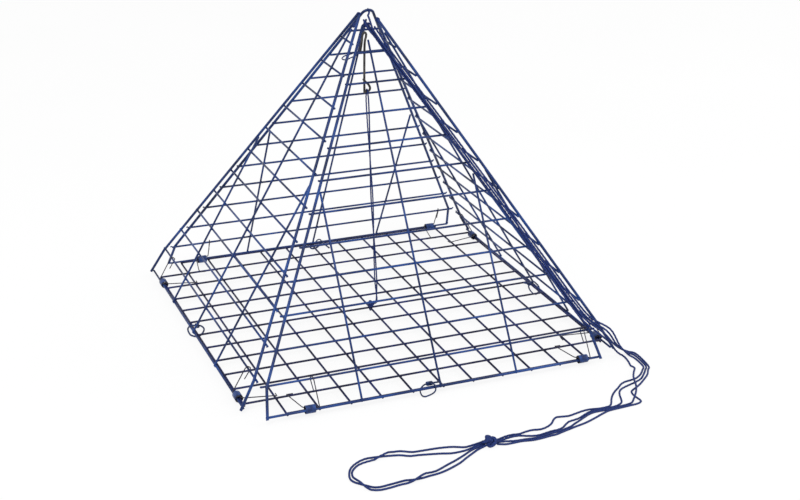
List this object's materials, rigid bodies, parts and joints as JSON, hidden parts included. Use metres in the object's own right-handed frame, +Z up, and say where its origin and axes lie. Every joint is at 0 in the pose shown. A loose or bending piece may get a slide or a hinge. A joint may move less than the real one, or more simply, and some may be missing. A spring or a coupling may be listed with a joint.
{
  "type": "star crab trap",
  "caption": "Square wire base with hinged triangular wire panels closed as a pyramid, torsion springs in sleeves, closing cords led to a handle loop and a hook on a doubled centre cord.",
  "frame": {"origin": "middle of the square base, at the bottom of the sleeves that the trap stands on", "axes": "+Z up from the base to the tips; +X along the front edge to the right; +Y from the front edge to the back edge"},
  "size_m": [0.3306, 0.4306, 0.2643],
  "materials": {
    "grid_wire": "coated",
    "panel_wire": "coated",
    "sleeve": "satin",
    "spring": "satin",
    "tie": "satin",
    "hook": "dark",
    "cord": "braided"
  },
  "bodies": {
    "base": {"base_grid": "grid_wire", "centre_hook": "hook", "centre_knot": "cord", "centre_cord": "cord", "handle_knot": "cord", "handle_loop_outer": "cord", "handle_loop_inner": "cord", "sleeve_front_left": "sleeve", "sleeve_front_right": "sleeve", "sleeve_right_front": "sleeve", "sleeve_right_back": "sleeve", "sleeve_back_right": "sleeve", "sleeve_back_left": "sleeve", "sleeve_left_back": "sleeve", "sleeve_left_front": "sleeve", "spring_front_left": "spring", "spring_front_right": "spring", "spring_right_front": "spring", "spring_right_back": "spring", "spring_back_right": "spring", "spring_back_left": "spring", "spring_left_back": "spring", "spring_left_front": "spring", "tie_front": "tie", "tie_right": "tie", "tie_back": "tie", "tie_left": "tie", "cord_floor_left": "cord", "cord_floor_back": "cord", "cord_floor_front": "cord", "cord_floor_right": "cord"},
    "front_panel": {"panel_front": "panel_wire", "tip_knot_front": "cord", "spring_arm_front_left": "spring", "spring_arm_front_right": "spring", "cord_edge_left": "cord", "cord_edge_back": "cord", "cord_edge_front": "cord", "cord_edge_right": "cord"},
    "right_panel": {"panel_right": "panel_wire", "tip_knot_right": "cord", "spring_arm_right_front": "spring", "spring_arm_right_back": "spring"},
    "back_panel": {"panel_back": "panel_wire", "tip_knot_back": "cord", "spring_arm_back_right": "spring", "spring_arm_back_left": "spring"},
    "left_panel": {"panel_left": "panel_wire", "tip_knot_left": "cord", "spring_arm_left_back": "spring", "spring_arm_left_front": "spring"}
  },
  "joints": [
    {"name": "front_hinge", "type": "hinge", "parent": "base", "child": "front_panel", "pos_m": [-0.0038, -0.1547, 0.00535], "axis": [1, 0, 0], "range_deg": [0, 119.7]},
    {"name": "right_hinge", "type": "hinge", "parent": "base", "child": "right_panel", "pos_m": [0.1547, -0.0012, 0.00395], "axis": [0, 1, 0], "range_deg": [0, 117.2]},
    {"name": "back_hinge", "type": "hinge", "parent": "base", "child": "back_panel", "pos_m": [0.0018, 0.1547, 0.00535], "axis": [-1, 0, 0], "range_deg": [0, 115]},
    {"name": "left_hinge", "type": "hinge", "parent": "base", "child": "left_panel", "pos_m": [-0.1547, 0.0072, 0.00395], "axis": [0, -1, 0], "range_deg": [0, 115.9]}
  ]
}
